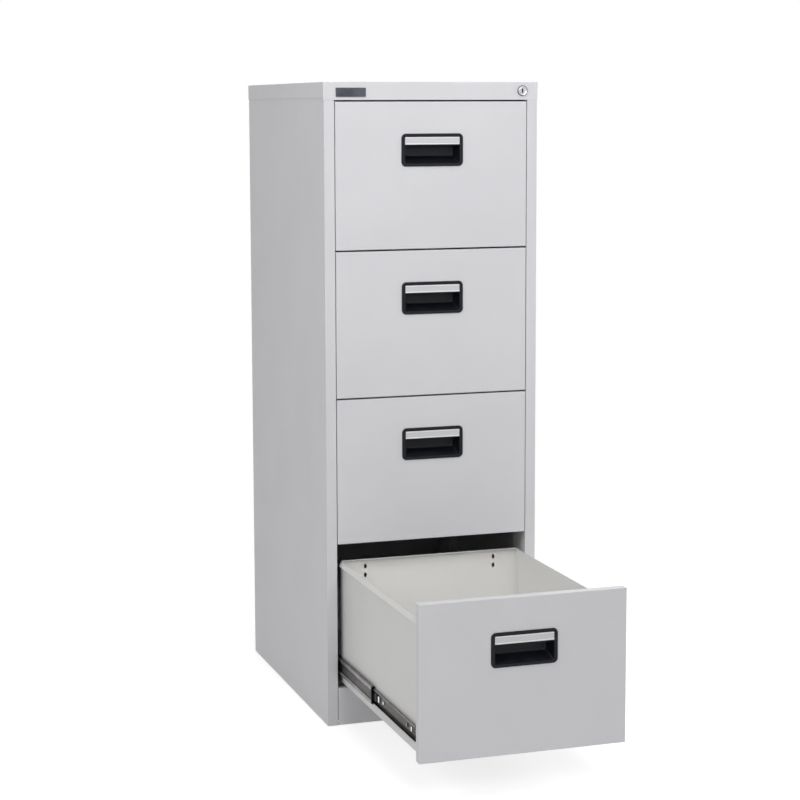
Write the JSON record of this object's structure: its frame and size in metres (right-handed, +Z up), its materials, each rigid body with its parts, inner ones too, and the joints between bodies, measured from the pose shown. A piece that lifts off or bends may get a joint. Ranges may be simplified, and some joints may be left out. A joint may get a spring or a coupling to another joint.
{
  "type": "four-drawer steel filing cabinet",
  "caption": "Upright sheet-steel cabinet with deep drawers on ball-bearing slides, recessed pull handles, a lock in the top rail and the bottom drawer standing open.",
  "frame": {"origin": "on the floor, under the middle of the whole object as it stands, with the bottom drawer out", "axes": "+Z up, -Y towards the user (the drawers slide out along -Y), +X to the right seen from the front"},
  "size_m": [0.4624, 1.1432, 1.33],
  "materials": {
    "grey_enamel": "fine-textured satin light grey powder coat",
    "inside_enamel": "satin light grey powder coat",
    "slide_steel": "zinc-plated rolled steel",
    "screw_steel": "bright zinc",
    "lock_chrome": "polished chrome",
    "plate_metal": "dark brushed foil",
    "handle_plastic": "satin black moulded plastic",
    "label_card": "white card under clear plastic",
    "foot_plastic": "matt black plastic"
  },
  "bodies": {
    "cabinet": {"left_side_panel": "grey_enamel", "right_side_panel": "grey_enamel", "back_panel": "grey_enamel", "top_cap": "grey_enamel", "kick_plate": "grey_enamel", "base_pan": "inside_enamel", "left_front_upright": "inside_enamel", "right_front_upright": "inside_enamel", "left_rear_upright": "inside_enamel", "right_rear_upright": "inside_enamel", "levelling_feet": "foot_plastic", "slide_screws": "screw_steel", "nameplate": "plate_metal", "lock_housing": "lock_chrome", "lock_nut": "slide_steel", "lock_bar_guides": "slide_steel", "drawer_1_outer_slides": "slide_steel", "drawer_2_outer_slides": "slide_steel", "drawer_3_outer_slides": "slide_steel", "drawer_4_outer_slides": "slide_steel"},
    "drawer_1": {"drawer_1_front": "grey_enamel", "drawer_1_liner": "inside_enamel", "drawer_1_tray": "inside_enamel", "drawer_1_back": "inside_enamel", "drawer_1_handle": "handle_plastic", "drawer_1_label": "label_card", "drawer_1_screws": "screw_steel", "drawer_1_inner_slides": "slide_steel"},
    "drawer_2": {"drawer_2_front": "grey_enamel", "drawer_2_liner": "inside_enamel", "drawer_2_tray": "inside_enamel", "drawer_2_back": "inside_enamel", "drawer_2_handle": "handle_plastic", "drawer_2_label": "label_card", "drawer_2_screws": "screw_steel", "drawer_2_inner_slides": "slide_steel"},
    "drawer_3": {"drawer_3_front": "grey_enamel", "drawer_3_liner": "inside_enamel", "drawer_3_tray": "inside_enamel", "drawer_3_back": "inside_enamel", "drawer_3_handle": "handle_plastic", "drawer_3_label": "label_card", "drawer_3_screws": "screw_steel", "drawer_3_inner_slides": "slide_steel"},
    "drawer_4": {"drawer_4_front": "grey_enamel", "drawer_4_liner": "inside_enamel", "drawer_4_tray": "inside_enamel", "drawer_4_back": "inside_enamel", "drawer_4_handle": "handle_plastic", "drawer_4_label": "label_card", "drawer_4_screws": "screw_steel", "drawer_4_inner_slides": "slide_steel"},
    "slide_middles_1": {"drawer_1_middle_slides": "slide_steel"},
    "slide_middles_2": {"drawer_2_middle_slides": "slide_steel"},
    "slide_middles_3": {"drawer_3_middle_slides": "slide_steel"},
    "slide_middles_4": {"drawer_4_middle_slides": "slide_steel"},
    "lock_plug": {"lock_plug": "lock_chrome", "lock_cam": "slide_steel"},
    "lock_bar": {"lock_bar": "slide_steel"}
  },
  "joints": [
    {"name": "drawer_1_slide", "type": "slide", "parent": "cabinet", "child": "drawer_1", "axis": [0, -1, 0], "range_m": [0, 0.52]},
    {"name": "drawer_2_slide", "type": "slide", "parent": "cabinet", "child": "drawer_2", "axis": [0, -1, 0], "range_m": [0, 0.52]},
    {"name": "drawer_3_slide", "type": "slide", "parent": "cabinet", "child": "drawer_3", "axis": [0, -1, 0], "range_m": [0, 0.52]},
    {"name": "drawer_4_slide", "type": "slide", "parent": "cabinet", "child": "drawer_4", "axis": [0, -1, 0], "range_m": [-0.52, 0]},
    {"name": "middle_1_slide", "type": "slide", "parent": "cabinet", "child": "slide_middles_1", "axis": [0, -1, 0], "range_m": [0, 0.26]},
    {"name": "middle_2_slide", "type": "slide", "parent": "cabinet", "child": "slide_middles_2", "axis": [0, -1, 0], "range_m": [0, 0.26]},
    {"name": "middle_3_slide", "type": "slide", "parent": "cabinet", "child": "slide_middles_3", "axis": [0, -1, 0], "range_m": [0, 0.26]},
    {"name": "middle_4_slide", "type": "slide", "parent": "cabinet", "child": "slide_middles_4", "axis": [0, -1, 0], "range_m": [-0.26, 0]},
    {"name": "lock_turn", "type": "hinge", "parent": "cabinet", "child": "lock_plug", "pos_m": [0.197, -0.0496, 1.3125], "axis": [0, 1, 0], "range_deg": [0, 90]},
    {"name": "lock_bar_lift", "type": "slide", "parent": "cabinet", "child": "lock_bar", "axis": [0, 0, 1], "range_m": [0, 0.01131]}
  ],
  "couplings": [
    {"joint": "middle_1_slide", "follows": "drawer_1_slide", "ratio": 0.5},
    {"joint": "middle_2_slide", "follows": "drawer_2_slide", "ratio": 0.5},
    {"joint": "middle_3_slide", "follows": "drawer_3_slide", "ratio": 0.5},
    {"joint": "middle_4_slide", "follows": "drawer_4_slide", "ratio": 0.5},
    {"joint": "lock_turn", "follows": "lock_bar_lift", "rad_per_m": 138.84}
  ]
}
